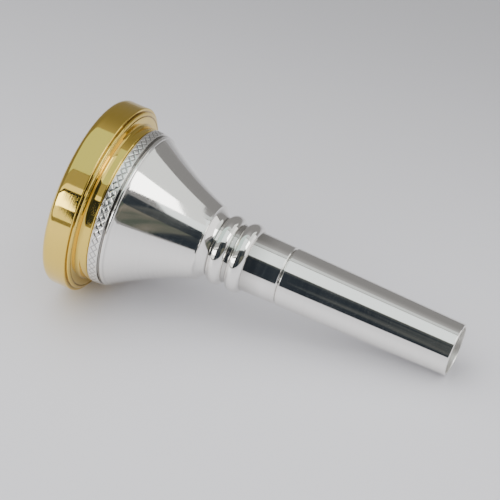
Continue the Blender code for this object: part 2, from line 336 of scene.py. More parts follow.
def new_material(name):
    """A material with nothing in it yet, and its node tree."""
    made = bpy.data.materials.new(name)
    made.use_nodes = True
    made.node_tree.nodes.clear()
    return made, made.node_tree


def plated(name, clean, corner_shade, roughness, smear, rings):
    """Buffed plating on turned brass: a mirror with faint signs of the lathe and of handling.

    clean is the metal's colour, and the colour after it is painted shade for corners, grooves and cuts.
    smear is how much rougher a fingered patch is, and rings how strongly the lathe's rings show.
    """
    made, tree = new_material(name)
    place = add(tree, "ShaderNodeTexCoord")
    smears = add(tree, "ShaderNodeTexNoise", {
        "Vector": place.outputs["Object"], "Scale": 1.0 / FINGER_MARK,
        "Detail": 5.0, "Roughness": 0.6,
    })
    unwrapped = add(tree, "ShaderNodeUVMap", uv_map="turning")
    stretched = add(tree, "ShaderNodeMapping", {
        "Vector": unwrapped.outputs["UV"], "Scale": (2.0, LATHE_RINGS, 1.0),
    })
    lathe = add(tree, "ShaderNodeTexNoise", {
        "Vector": stretched.outputs["Vector"], "Scale": 1.0, "Detail": 3.0, "Roughness": 0.7,
    })
    bump = add(tree, "ShaderNodeBump", {
        "Height": lathe.outputs["Fac"], "Strength": rings, "Distance": 0.01 * MM,
    })
    # Painted shade: places deep in corners, grooves and cuts are darkened toward the shade colour.
    corner = add(tree, "ShaderNodeAttribute", attribute_name="hollow")
    painted_corner_shade = add(tree, "ShaderNodeMapRange", {
        "Value": corner.outputs["Fac"], "From Min": 0.25, "From Max": 1.0, "To Max": 0.8,
    })
    colour = add(tree, "ShaderNodeMix", {      # 0 is the factor, 6 and 7 are the two colours
        0: painted_corner_shade.outputs["Result"], 6: (*clean, 1.0), 7: (*corner_shade, 1.0),
    }, data_type="RGBA")
    worn = add(tree, "ShaderNodeMath", {0: smears.outputs["Fac"], 1: lathe.outputs["Fac"]},
               operation="ADD")
    gloss = add(tree, "ShaderNodeMapRange", {
        "Value": worn.outputs["Value"], "From Min": 0.80, "From Max": 1.25,
        "To Min": roughness, "To Max": roughness + smear,
    })
    haze = add(tree, "ShaderNodeMapRange", {
        "Value": lathe.outputs["Fac"], "From Min": 0.40, "From Max": 0.65, "To Max": 1.6 * rings,
    })
    shader = add(tree, "ShaderNodeBsdfPrincipled", {
        "Coat Weight": haze.outputs["Result"], "Coat Roughness": 0.45,
        "Base Color": colour.outputs[2], "Metallic": 1.0,
        "Roughness": gloss.outputs["Result"], "Normal": bump.outputs["Normal"],
    })
    add(tree, "ShaderNodeOutputMaterial", {"Surface": shader.outputs["BSDF"]})
    return made


def gold_plate(finishes):
    """Gold plate, buffed: warm yellow reflections that turn olive where the room is dim."""
    # 7A5A1C is painted shade for the gold's corners and grooves.
    return plated("gold plate", finishes.gold, linear("#7A5A1C"), 0.035, 0.06, 0.20)


def silver_plate(finishes):
    """Silver plate, buffed: nearly colourless and the brightest of mirrors, so the room draws it."""
    # 6B665E is painted shade for the silver's corners and grooves.
    return plated("silver plate", finishes.silver, linear("#6B665E"), 0.03, 0.08, 0.30)


def frosted_silver(finishes):
    """Silver plate over a pattern rolled into the brass: a soft sheen, with painted shade darkening the cuts."""
    # 2E3036 is painted shade for the pattern's cuts.
    return plated("frosted silver", finishes.silver, linear("#2E3036"), 0.22, 0.06, 0.10)


def reamed_silver(finishes):
    """Silver plate over a reamed bore, which no buffing wheel reaches: rough and even."""
    # 6B665E is painted shade for the bore's corners.
    return plated("reamed silver", finishes.silver, linear("#6B665E"), 0.32, 0.08, 0.30)


def nitrile(finishes):
    """Moulded nitrile rubber: near black with a faint sheen and a fine moulding grain."""
    made, tree = new_material("nitrile")
    place = add(tree, "ShaderNodeTexCoord")
    grain = add(tree, "ShaderNodeTexNoise", {
        "Vector": place.outputs["Object"], "Scale": 1.0 / MOULD_GRAIN, "Detail": 2.0,
    })
    gloss = add(tree, "ShaderNodeMapRange", {
        "Value": grain.outputs["Fac"], "To Min": 0.45, "To Max": 0.65,
    })
    bump = add(tree, "ShaderNodeBump", {
        "Height": grain.outputs["Fac"], "Strength": 0.3, "Distance": 0.01 * MM,
    })
    shader = add(tree, "ShaderNodeBsdfPrincipled", {
        "Base Color": (*finishes.rubber, 1.0), "IOR": 1.52,
        "Roughness": gloss.outputs["Result"], "Normal": bump.outputs["Normal"],
    })
    add(tree, "ShaderNodeOutputMaterial", {"Surface": shader.outputs["BSDF"]})
    return made


def satin_board(stage):
    """Coated board under the object: pale grey with a low sheen, and painted shade that darkens it away from the
    object in place of the light's falloff.
    """
    made, tree = new_material("satin board")
    place = add(tree, "ShaderNodeTexCoord")
    mottle = add(tree, "ShaderNodeTexNoise", {
        "Vector": place.outputs["Object"], "Scale": 1.0 / MOTTLE, "Detail": 3.0,
    })
    pale = tuple(0.97 * part for part in stage.floor)
    near = add(tree, "ShaderNodeMix", {
        0: mottle.outputs["Fac"], 6: (*stage.floor, 1.0), 7: (*pale, 1.0),
    }, data_type="RGBA")
    # Painted shade: the board darkens from its near part to its far part, standing in for light falling off.
    parts = add(tree, "ShaderNodeSeparateXYZ", {"Vector": place.outputs["Object"]})
    painted_falloff = add(tree, "ShaderNodeMapRange", {
        "Value": parts.outputs["Y"], "From Min": FLOOR_SHADE_START, "From Max": FLOOR_SHADE_END,
    }, interpolation_type="SMOOTHSTEP")
    far = tuple(stage.far_floor_shade * part for part in stage.floor)
    colour = add(tree, "ShaderNodeMix", {
        0: painted_falloff.outputs["Result"], 6: near.outputs[2], 7: (*far, 1.0),
    }, data_type="RGBA")
    shader = add(tree, "ShaderNodeBsdfPrincipled", {
        "Base Color": colour.outputs[2], "Roughness": 0.45, "Specular IOR Level": 0.35,
    })
    add(tree, "ShaderNodeOutputMaterial", {"Surface": shader.outputs["BSDF"]})
    return made


def glow(name, colour, strength):
    """A surface that gives off even light."""
    made, tree = new_material(name)
    light = add(tree, "ShaderNodeEmission", {"Color": (*colour, 1.0), "Strength": strength})
    add(tree, "ShaderNodeOutputMaterial", {"Surface": light.outputs["Emission"]})
    return made


# ---------------------------------------------------------------- settings a user would change


class FinishSettings(bpy.types.PropertyGroup):
    """Colours of the three materials."""

    gold: FloatVectorProperty(
        name="Gold plate", description="Colour of the gold plate at normal incidence",
        subtype="COLOR", size=3, min=0.0, max=1.0, default=linear("#F1CF62"))
    silver: FloatVectorProperty(
        name="Silver plate", description="Colour of the silver plate at normal incidence",
        subtype="COLOR", size=3, min=0.0, max=1.0, default=linear("#F8F6F2"))
    rubber: FloatVectorProperty(
        name="Seals", description="Colour of the nitrile seals",
        subtype="COLOR", size=3, min=0.0, max=1.0, default=linear("#1B1B1C"))


class RimSettings(bpy.types.PropertyGroup):
    """Sizes of the screw-on rim."""

    radius: FloatProperty(
        name="Radius", description="Outer radius of the straight edge",
        subtype="DISTANCE", unit="LENGTH", default=RIM_RADIUS)
    back_radius: FloatProperty(
        name="Back radius", description="Radius where the rounded back meets the edge's step",
        subtype="DISTANCE", unit="LENGTH", default=19.3 * MM)
    neck_radius: FloatProperty(
        name="Neck radius", description="Radius where the rim meets the cup",
        subtype="DISTANCE", unit="LENGTH", default=16.6 * MM)
    crest_radius: FloatProperty(
        name="Crest radius", description="Inner radius of the highest ring of the playing face",
        subtype="DISTANCE", unit="LENGTH", default=15.9 * MM)
    bite_radius: FloatProperty(
        name="Bite radius", description="Radius of the playing face's inner edge",
        subtype="DISTANCE", unit="LENGTH", default=12.9 * MM)
    line_radius: FloatProperty(
        name="Line radius", description="Radius of the fine turned line on the back",
        subtype="DISTANCE", unit="LENGTH", default=18.55 * MM)


class CupSettings(bpy.types.PropertyGroup):
    """Sizes of the cup."""

    mouth_radius: FloatProperty(
        name="Mouth radius", description="Inner radius of the bowl at its top",
        subtype="DISTANCE", unit="LENGTH", default=12.45 * MM)
    throat_radius: FloatProperty(
        name="Throat radius", description="Radius of the narrowest place of the air passage",
        subtype="DISTANCE", unit="LENGTH", default=3.45 * MM)
    shoulder_radius: FloatProperty(
        name="Shoulder radius", description="Outer radius of the body below the band",
        subtype="DISTANCE", unit="LENGTH", default=15.8 * MM)
    foot_radius: FloatProperty(
        name="Foot radius", description="Outer radius of the body above the beads",
        subtype="DISTANCE", unit="LENGTH", default=8.0 * MM)
    neck_radius: FloatProperty(
        name="Neck radius", description="Outer radius of the straight neck",
        subtype="DISTANCE", unit="LENGTH", default=6.12 * MM)
    bead_radius: FloatProperty(
        name="Bead radius", description="Radius of the two beads' round section",
        subtype="DISTANCE", unit="LENGTH", default=1.85 * MM)
    lozenges: IntProperty(
        name="Lozenges", description="Number of lozenges in the rolled band", default=60, min=6)


class ShankSettings(bpy.types.PropertyGroup):
    """Sizes of the shank."""

    top_radius: FloatProperty(
        name="Top radius", description="Outer radius at the joint with the cup",
        subtype="DISTANCE", unit="LENGTH", default=SHANK_RADIUS)
    end_radius: FloatProperty(
        name="End radius", description="Outer radius at the open end",
        subtype="DISTANCE", unit="LENGTH", default=5.45 * MM)
    end_wall: FloatProperty(
        name="End wall", description="Thickness of the wall at the open end",
        subtype="DISTANCE", unit="LENGTH", default=0.55 * MM)


class StageSettings(bpy.types.PropertyGroup):
    """Camera, floor and light."""

    heading: FloatProperty(
        name="Heading", description="Turn of the camera round the object, from its side",
        subtype="ANGLE", unit="ROTATION", default=math.radians(24.48))
    elevation: FloatProperty(
        name="Elevation", description="Camera's angle above the floor",
        subtype="ANGLE", unit="ROTATION", default=math.radians(35.89))
    distance: FloatProperty(
        name="Distance", description="From the camera to what it aims at",
        subtype="DISTANCE", unit="LENGTH", default=0.450)
    lens: FloatProperty(
        name="Lens", description="Focal length on a 36 mm sensor", subtype="DISTANCE_CAMERA",
        unit="CAMERA", default=163.8)
    floor: FloatVectorProperty(
        name="Floor", description="Colour of the board under the object",
        subtype="COLOR", size=3, min=0.0, max=1.0, default=linear("#DDDDE2"))
    # Painted shade: how dark the board is painted far from the object.
    far_floor_shade: FloatProperty(
        name="Far floor", description="Brightness of the board's far part, as a share of its near part",
        subtype="FACTOR", default=0.45, min=0.0, max=1.0)
    softbox: FloatProperty(
        name="Softbox", description="Power of the overhead light", unit="POWER", default=47.0)
    room: FloatProperty(
        name="Room", description="Brightness of the far side of the room", default=0.26, min=0.0)
    ceiling: FloatProperty(
        name="Ceiling", description="How much brighter the room is overhead", default=0.5, min=0.0)


# ---------------------------------------------------------------- rim


FACE_DEPTH = 2.1 * MM       # from the crest down to the straight edge
FACE_FULLNESS = 2.5         # of the playing face, where 2 is an ellipse and more is squarer
EDGE_HEIGHT = 3.8 * MM      # length of the straight edge
EDGE_STEP = 0.3 * MM        # the square step behind it
EDGE_CHAMFER = 0.15 * MM
BACK_CROWN = 0.5 * MM       # how far the back bulges
BACK_FILLET = 0.8 * MM      # hollow between the neck and the back
BACK_RISE = 0.5 * MM
CREST_FLAT = 0.5 * MM
BITE_DROP = 1.1 * MM
LINE_WIDTH = 0.09 * MM
LINE_DEPTH = 0.12 * MM
JOINT_BEVEL = 0.2 * MM

RIM_THREAD_RADIUS = 14.2 * MM
RIM_THREAD_FROM = 74.6 * MM
RIM_THREAD_TURNS = 2.5
RIM_SPIGOT_LAND = 13.8 * MM
RIM_SEAT_DEPTH = 1.2 * MM
RIM_SEAT_RADIUS = 15.9 * MM


def rim_outline(sizes, cup):
    """Neck, rounded back with its turned line, square step, edge, playing face and socket."""
    bottom = RIM_JOINT + JOINT_GAP
    edge_top = CREST - FACE_DEPTH
    edge_bottom = edge_top - EDGE_HEIGHT
    back_outer = edge_bottom - EDGE_STEP
    back_inner = back_outer - BACK_CROWN
    inner_radius = sizes.neck_radius + BACK_RISE
    back = quarter((back_inner, inner_radius), (back_outer, sizes.back_radius), False, 90)
    face_start = (CREST, sizes.crest_radius + CREST_FLAT)
    face = quarter(face_start, (edge_top, sizes.radius), False, 48, FACE_FULLNESS)
    across = (back[:, 1] - sizes.line_radius) / LINE_WIDTH
    back[:, 0] += LINE_DEPTH * np.exp(-across ** 2)
    clear = RIM_THREAD_RADIUS + THREAD_DEPTH + CAD_GAP
    socket = thread(RIM_THREAD_FROM, RIM_THREAD_TURNS, RIM_PITCH, RIM_THREAD_RADIUS + CAD_GAP, clear)
    return np.concatenate([
        straight((bottom, sizes.neck_radius - JOINT_BEVEL), (bottom + JOINT_BEVEL, sizes.neck_radius)),
        quarter((back_inner - BACK_FILLET, sizes.neck_radius), (back_inner, inner_radius), True),
        back[1:],
        straight(
            (edge_bottom, sizes.back_radius),
            (edge_bottom, sizes.radius - EDGE_CHAMFER),
            (edge_bottom + EDGE_CHAMFER, sizes.radius),
        ),
        face[::-1],
        quarter((CREST, sizes.crest_radius), (CREST - BITE_DROP, sizes.bite_radius), False, 32),
        straight((CUP_TOP + JOINT_GAP, cup.mouth_radius), (CUP_TOP + JOINT_GAP, clear)),
        socket[::-1],
        straight(
            (RIM_JOINT + RIM_SEAT_DEPTH, clear),
            (RIM_JOINT + RIM_SEAT_DEPTH, RIM_SEAT_RADIUS),
            (bottom, RIM_SEAT_RADIUS),
        ),
    ])


# ---------------------------------------------------------------- cup


LOWER_BEAD = 46.1 * MM
UPPER_BEAD = 50.25 * MM
BEAD_RISE = 1.24 * MM       # how far the beads stand above the neck
GROOVE_RISE = 0.12 * MM     # how far the grooves beside the beads stand above the neck
COVE_BOTTOM = 52.1 * MM
COVE_FULLNESS = 1.25        # 1 is a straight slope, 2 a round hollow
BODY_BOTTOM = 54.0 * MM
BODY_TOP = 69.8 * MM
BODY_BOW = 0.6 * MM
RING_SIZE = 0.42 * MM       # the bright half-round ring below the band
RING_HEIGHT = 70.3 * MM
RING_START, RING_END = -80.0, 70.0          # degrees of its section, where 90 points to the rim
BAND_BOTTOM = 71.0 * MM
BAND_RISE = 0.65 * MM       # how far the band stands above the shoulder
BAND_EDGE = 0.16 * MM       # plain border on both sides of the pattern
BAND_SINK = 0.35 * MM       # depth of the channel that the patterned strip fills
BAND_FIT = 0.015 * MM
BAND_SIDES = 1440
BAND_ROWS = 22
STROKE_WIDTH = 0.13 * MM
STROKE_DEPTH = 0.10 * MM
PATTERN_SHARE = 0.78        # how much of the strip's height the lozenges fill

BOWL_STEPS = 72
BOWL_POWER = 2.3            # 2 is a round bowl, more is squarer
THROAT_TOP = 54.5 * MM
THROAT_BOTTOM = 49.0 * MM
SPIGOT_BORE = 3.6 * MM

SHANK_THREAD_RADIUS = 4.75 * MM
SHANK_THREAD_FROM = 39.6 * MM
SHANK_THREAD_TURNS = 4
SHANK_SPIGOT_LAND = 4.3 * MM
SHANK_SEAT_DEPTH = 1.3 * MM
SHANK_SEAT_RADIUS = 5.5 * MM


def bead(sizes, height):
    """One round bead on the neck, cut off where it meets the grooves beside it."""
    centre = sizes.neck_radius + BEAD_RISE - sizes.bead_radius
    reach = math.degrees(math.acos((sizes.neck_radius + GROOVE_RISE - centre) / sizes.bead_radius))
    return arc(height, centre, sizes.bead_radius, -reach, reach, 32)


def cup_outside(sizes, top_radius):
    """Up the neck, over both beads, the cove, the body, the ring and the band with its channel."""
    bottom, neck = SHANK_JOINT + JOINT_GAP, sizes.neck_radius
    groove = neck + GROOVE_RISE
    band = sizes.shoulder_radius + BAND_RISE
    low, high = BAND_BOTTOM + BAND_EDGE, RIM_JOINT - JOINT_BEVEL - BAND_EDGE
    body_top = (BODY_TOP, sizes.shoulder_radius)
    return np.concatenate([
        straight((bottom, neck - JOINT_CHAMFER), (bottom + JOINT_CHAMFER, neck)),
        bead(sizes, LOWER_BEAD),
        bead(sizes, UPPER_BEAD),
        quarter((COVE_BOTTOM, groove), (BODY_BOTTOM, sizes.foot_radius), True, 24, COVE_FULLNESS),
        bowed((BODY_BOTTOM + JOINT_CHAMFER, sizes.foot_radius), body_top, BODY_BOW),
        arc(RING_HEIGHT, sizes.shoulder_radius, RING_SIZE, RING_START, RING_END, 16),
        straight(
            (BAND_BOTTOM, sizes.shoulder_radius + BAND_RISE / 3.0),
            (BAND_BOTTOM, band),
            (low, band),
            (low, band - BAND_SINK),
            (high, band - BAND_SINK),
            (high, top_radius),
            (RIM_JOINT - JOINT_BEVEL, top_radius),
            (RIM_JOINT, top_radius - JOINT_BEVEL),
        ),
    ])


def cup_outline(sizes, top_radius):
    """The outside, then the threaded spigot, the bowl, the throat and the threaded socket."""
    root = RIM_THREAD_RADIUS - THREAD_DEPTH
    spread = np.linspace(1.0, 0.0, BOWL_STEPS + 1)
    bowl = np.zeros((len(spread), 4))
    bowl[:, 0] = THROAT_TOP + (CUP_TOP - THROAT_TOP) * spread ** BOWL_POWER
    bowl[:, 1] = sizes.throat_radius + (sizes.mouth_radius - sizes.throat_radius) * spread
    clear = SHANK_THREAD_RADIUS + THREAD_DEPTH + CAD_GAP
    socket_from = SHANK_THREAD_FROM - SHANK_PITCH / 2.0
    socket_radius = SHANK_THREAD_RADIUS + CAD_GAP
    seat_top = SHANK_JOINT + SHANK_SEAT_DEPTH
    return np.concatenate([
        cup_outside(sizes, top_radius),
        straight((RIM_JOINT, RIM_SPIGOT_LAND), (RIM_THREAD_FROM - CAD_GAP, RIM_SPIGOT_LAND)),
        thread(RIM_THREAD_FROM, RIM_THREAD_TURNS, RIM_PITCH, RIM_THREAD_RADIUS, root),
        straight((CUP_TOP - THREAD_DEPTH, root), (CUP_TOP, root - THREAD_DEPTH)),
        bowl,
        straight(
            (THROAT_BOTTOM, sizes.throat_radius),
            (SHANK_TOP + JOINT_GAP, SPIGOT_BORE - JOINT_GAP),
            (SHANK_TOP + JOINT_GAP, clear),
        ),
        thread(socket_from, SHANK_THREAD_TURNS, SHANK_PITCH, socket_radius, clear)[::-1],
        straight((seat_top, clear), (seat_top, SHANK_SEAT_RADIUS), (CUP_BOTTOM, SHANK_SEAT_RADIUS)),
        straight((SHANK_JOINT + JOINT_GAP, SHANK_SEAT_RADIUS)),
    ])


def band_outline(sizes, top_radius):
    """The strip in the band's channel, whose outer face is divided finely for the pattern."""
    band = sizes.shoulder_radius + BAND_RISE
    low = BAND_BOTTOM + BAND_EDGE + BAND_FIT
    high = RIM_JOINT - JOINT_BEVEL - BAND_EDGE - BAND_FIT
    face = bowed((low, band), (high, top_radius), 0.0, BAND_ROWS)
    floor = band - BAND_SINK + BAND_FIT
    return np.concatenate([face, straight((high, floor), (low, floor))])


def lozenge_pattern(sizes):
    """A row of lozenges: two zigzags, one the mirror of the other, pressed into the strip.

    zigzag = 2 / pi asin(sin(count angle / 2)), and a stroke's depth falls off as
    exp(-(distance / width)^2) from each zigzag line.
    """
    low, high = BAND_BOTTOM + BAND_EDGE, RIM_JOINT - JOINT_BEVEL - BAND_EDGE
    middle, half = (low + high) / 2.0, (high - low) / 2.0

    def relief(height, angle):
        zigzag = 2.0 / math.pi * np.arcsin(np.sin(sizes.lozenges * angle / 2.0))
        offset = height - middle
        reach = half * PATTERN_SHARE
        lean = math.sqrt(0.5)       # the strokes run at about 45 degrees
        rising = np.exp(-(((offset - reach * zigzag) * lean / STROKE_WIDTH) ** 2))
        falling = np.exp(-(((offset + reach * zigzag) * lean / STROKE_WIDTH) ** 2))
        inside = np.abs(offset) < half - 2.0 * BAND_FIT
        return -STROKE_DEPTH * np.maximum(rising, falling) * inside

    return relief


# ---------------------------------------------------------------- shank


END_CHAMFER = 0.15 * MM


def shank_outline(sizes):
    """Tapered tube with a threaded spigot on top, and a bore that widens toward the open end."""
    root = SHANK_THREAD_RADIUS - THREAD_DEPTH
    inner = sizes.end_radius - sizes.end_wall
    return np.concatenate([
        straight(
            (0.0, sizes.end_radius - END_CHAMFER),
            (END_CHAMFER, sizes.end_radius),
            (SHANK_JOINT - JOINT_CHAMFER, sizes.top_radius),
            (SHANK_JOINT, sizes.top_radius - JOINT_CHAMFER),
            (SHANK_JOINT, SHANK_SPIGOT_LAND),
            (SHANK_THREAD_FROM - CAD_GAP, SHANK_SPIGOT_LAND),
        ),
        thread(SHANK_THREAD_FROM, SHANK_THREAD_TURNS, SHANK_PITCH, SHANK_THREAD_RADIUS, root),
        straight(
            (SHANK_TOP - THREAD_DEPTH, root),
            (SHANK_TOP, root - THREAD_DEPTH),
            (SHANK_TOP, SPIGOT_BORE),
            (SHANK_JOINT, SPIGOT_BORE),
            (END_CHAMFER, inner),
            (0.0, inner + END_CHAMFER / 2.0),
        ),
    ])


RIM_SEAL_WIDTH = 0.75 * MM
SHANK_SEAL_WIDTH = 0.60 * MM
SEAL_STEPS = 40


def seal_outline(node, width):
    """An oval section that fills the height of the frame's ring and is that wide."""
    bottom, top, outer = span(node)
    angle = np.linspace(-math.pi / 2.0, 1.5 * math.pi, SEAL_STEPS, endpoint=False)
    rows = np.zeros((len(angle), 4))
    rows[:, 0] = (bottom + top) / 2.0 + (top - bottom) / 2.0 * np.sin(angle)
    rows[:, 1] = outer - width / 2.0 + width / 2.0 * np.cos(angle)
    return rows


# ---------------------------------------------------------------- stage


FLOOR_REACH = 1.6           # metres from the object to the foot of the backdrop
BACKDROP_HEIGHT = 0.7
FLOOR_SHADE_START, FLOOR_SHADE_END = -0.03, 0.17        # where the board's painted shade starts and ends along y
RING_SIDES = 96             # of the backdrop and of the board's edge
BOARD_EDGE = 0.30           # metres from the object to where reflections see the board end
BOARD_EDGE_LIFT = 0.5 * MM
EYE_LEVEL = 0.5             # rise of the directions above which the room grows lighter
OVERHEAD_POWER = 3.5        # how much that keeps to what is straight above
SOFTBOX_SIZE = 3.0
SOFTBOX_PLACE = Vector((0.0, -0.2, 0.80))   # from what the camera aims at
SENSOR = 36.0               # mm
AIM_OFFSET = Vector((-1.75, -2.29, -1.88)) * MM      # what the camera aims at, from the box's middle

# The room that the metal reflects, in metres: x runs to the right, y away from the camera, z up.
FRONT_WALL = 0.60           # how far before the object it stands
SIDE_WALL = 0.60            # how far to the right of the object it stands
CEILING = 1.0
LEFT_END, RIGHT_END, WALL_TOP = -1.20, 1.80, 0.92
SILL_END, PANE_END, HIGH_PANE_END = -0.207, -0.190, -0.11
SILL_BOTTOM, SILL_TOP, BAR_BOTTOM, BAR_TOP, HIGH_PANE_TOP = 0.02, 0.17, 0.38, 0.43, 0.53
DARK_STEP = 0.42            # height where the dim room's left end moves
GREY_START, GREY_TOP = 0.45, 0.40
SIDE_PANE_START, SIDE_PANE_END, SIDE_PANE_BOTTOM, SIDE_PANE_TOP = -0.16, 0.16, 0.35, 0.72
SIDE_LOW_START, SIDE_LOW_END, SIDE_WALL_END = -0.10, 0.60, 1.04
CEILING_START, CEILING_END, CEILING_RIGHT = -0.62, 0.45, 1.2
COOL_END = -0.08            # where the ceiling changes from the cool lamp to the white one
BEAM_START, BEAM_END = 0.18, 0.23


def card(name, corners, material):
    """A flat panel between four corners that is seen in reflections only."""
    mesh = filled(name, np.array(corners, float), np.array([[0, 1, 2, 3]]))
    mesh.materials.append(material)
    panel = bpy.data.objects.new(name, mesh)
    bpy.context.scene.collection.objects.link(panel)
    panel.visible_camera = False
    panel.visible_diffuse = False
    panel.visible_shadow = False
    panel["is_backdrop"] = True
    return panel


def upright(name, left, right, bottom, top, material):
    """A panel in the front wall, from left to right as the camera sees it."""
    return card(name, [(right, -FRONT_WALL, bottom), (left, -FRONT_WALL, bottom),
                       (left, -FRONT_WALL, top), (right, -FRONT_WALL, top)], material)


def side(name, near, far, bottom, top, material):
    """A panel in the side wall, from near to far."""
    return card(name, [(SIDE_WALL, near, bottom), (SIDE_WALL, far, bottom), (SIDE_WALL, far, top),
                       (SIDE_WALL, near, top)], material)


def overhead(name, left, right, near, far, material):
    """A panel in the ceiling, from left to right and from near to far."""
    return card(name, [(left, near, CEILING), (right, near, CEILING), (right, far, CEILING),
                       (left, far, CEILING)], material)


def floor_and_backdrop(stage, level):
    """A square board that everything stands on, and a round wall behind it that reflections ignore."""
    reach = FLOOR_REACH
    board = filled("floor", np.array([
        (-reach, -reach, level), (reach, -reach, level), (reach, reach, level), (-reach, reach, level),
    ]), np.array([[0, 1, 2, 3]]))
    finish = satin_board(stage)
    board.materials.append(finish)
    floor = bpy.data.objects.new("floor", board)
    angle = np.linspace(0.0, 2.0 * math.pi, RING_SIDES, endpoint=False)
    ring = np.stack([reach * np.cos(angle), reach * np.sin(angle)], -1)
    low = np.column_stack([ring, np.full(len(angle), level)])
    high = np.column_stack([ring, np.full(len(angle), BACKDROP_HEIGHT)])
    index = np.arange(len(angle))
    beside = (index + 1) % len(angle)
    faces = np.stack([beside, index, index + len(angle), beside + len(angle)], -1)
    wall = filled("backdrop", np.concatenate([low, high]), faces)
    # The wall shares the board's painted shade.
    wall.materials.append(finish)
    backdrop = bpy.data.objects.new("backdrop", wall)
    backdrop.visible_glossy = False
    backdrop.visible_diffuse = False
    backdrop.visible_shadow = False
    for thing in (floor, backdrop):
        bpy.context.scene.collection.objects.link(thing)
        thing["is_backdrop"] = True


def table_edge(level):
    """What reflections meet beyond the table: a flat grey ring, from near the object outward."""
    angle = np.linspace(0.0, 2.0 * math.pi, RING_SIDES, endpoint=False)
    around = np.stack([np.cos(angle), np.sin(angle), np.zeros(len(angle))], axis=-1)
    lift = np.array([0.0, 0.0, level + BOARD_EDGE_LIFT])
    places = np.concatenate([BOARD_EDGE * around + lift, FLOOR_REACH * around + lift])
    index = np.arange(len(angle))
    beside = (index + 1) % len(angle)
    faces = np.stack([index, beside, beside + len(angle), index + len(angle)], axis=-1)
    mesh = filled("table_edge", places, faces)
    mesh.materials.append(glow("floor of the room", (1.0, 0.98, 0.97), 0.30))
    ring = bpy.data.objects.new("table_edge", mesh)
    bpy.context.scene.collection.objects.link(ring)
    ring.visible_camera = False
    ring.visible_diffuse = False
    ring.visible_shadow = False
    ring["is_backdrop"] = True


def dim_room(name, dark, light):
    """Emission of a cluttered dim room: soft upright blotches from one colour to another."""
    made, tree = new_material(name)
    place = add(tree, "ShaderNodeTexCoord")
    upright_blots = add(tree, "ShaderNodeMapping", {
        "Vector": place.outputs["Object"], "Scale": (3.0, 3.0, 1.6),
    })
    blots = add(tree, "ShaderNodeTexNoise", {
        "Vector": upright_blots.outputs["Vector"], "Scale": 1.0, "Detail": 3.0, "Distortion": 0.8,
    })
    share = add(tree, "ShaderNodeMapRange", {
        "Value": blots.outputs["Fac"], "From Min": 0.48, "From Max": 0.72,
    })
    colour = add(tree, "ShaderNodeMix", {
        0: share.outputs["Result"], 6: (*dark, 1.0), 7: (*light, 1.0),
    }, data_type="RGBA")
    shine = add(tree, "ShaderNodeEmission", {"Color": colour.outputs[2], "Strength": 1.0})
    add(tree, "ShaderNodeOutputMaterial", {"Surface": shine.outputs["Emission"]})
    return made


def panels():
    """What the polished metal reflects: a dim room before the object, and windows around it."""
    dark = dim_room("dim room", (0.024, 0.031, 0.040), (0.12, 0.125, 0.115))
    shade = dim_room("grey wall", (0.09, 0.105, 0.085), (0.32, 0.27, 0.22))
    black = glow("window bar", (1.0, 0.9, 0.8), 0.03)
    haze = glow("pale wall", (1.0, 1.0, 0.96), 0.46)
    pale = glow("sill", (1.0, 1.0, 0.97), 1.5)
    window = glow("window", (1.0, 1.0, 0.98), 6.0)
    lamp = glow("lamp", (0.92, 1.0, 1.0), 1.6)
    lamp_edge = glow("lamp edge", (0.95, 1.0, 0.99), 0.9)
    beam = glow("beam", (1.0, 1.0, 0.97), 0.42)
    side_wall = glow("side wall", (0.97, 1.0, 0.98), 1.2)
    side_low = glow("side low", (1.0, 0.99, 0.98), 1.6)
    cool = glow("cool lamp", (0.82, 1.0, 0.95), 1.05)
    upright("room_middle_low", SILL_END, GREY_START, 0.0, SILL_TOP, dark)
    upright("room_middle", PANE_END, GREY_START, SILL_TOP, DARK_STEP, dark)
    upright("room_middle_high", HIGH_PANE_END, GREY_START, DARK_STEP, WALL_TOP, dark)
    upright("room_right", GREY_START, RIGHT_END, 0.0, GREY_TOP, shade)
    upright("room_far_right", GREY_START, RIGHT_END, GREY_TOP, WALL_TOP, dark)
    upright("sill", LEFT_END, SILL_END, SILL_BOTTOM, SILL_TOP, pale)
    upright("window_low", LEFT_END, PANE_END, SILL_TOP, BAR_BOTTOM, window)
    upright("window_bar", LEFT_END, PANE_END, BAR_BOTTOM, BAR_TOP, black)
    upright("window_high", LEFT_END, HIGH_PANE_END, BAR_TOP, HIGH_PANE_TOP, pale)
    upright("room_left", LEFT_END, HIGH_PANE_END, HIGH_PANE_TOP, WALL_TOP, haze)
    side("side_window", SIDE_PANE_START, SIDE_PANE_END, SIDE_PANE_BOTTOM, SIDE_PANE_TOP, window)
    side("side_wall", SIDE_PANE_END, SIDE_WALL_END, SIDE_PANE_BOTTOM, CEILING, side_wall)
    side("side_high", SIDE_PANE_START, SIDE_PANE_END, SIDE_PANE_TOP, CEILING, side_wall)
    side("side_low", SIDE_LOW_START, SIDE_LOW_END, 0.0, SIDE_PANE_BOTTOM, side_low)
    overhead("ceiling_left", LEFT_END, COOL_END, CEILING_START, CEILING_END, cool)
    overhead("ceiling_near", COOL_END, CEILING_RIGHT, CEILING_START, BEAM_START, lamp)
    overhead("ceiling_beam", COOL_END, CEILING_RIGHT, BEAM_START, BEAM_END, beam)
    overhead("ceiling_far", COOL_END, CEILING_RIGHT, BEAM_END, CEILING_END, lamp_edge)


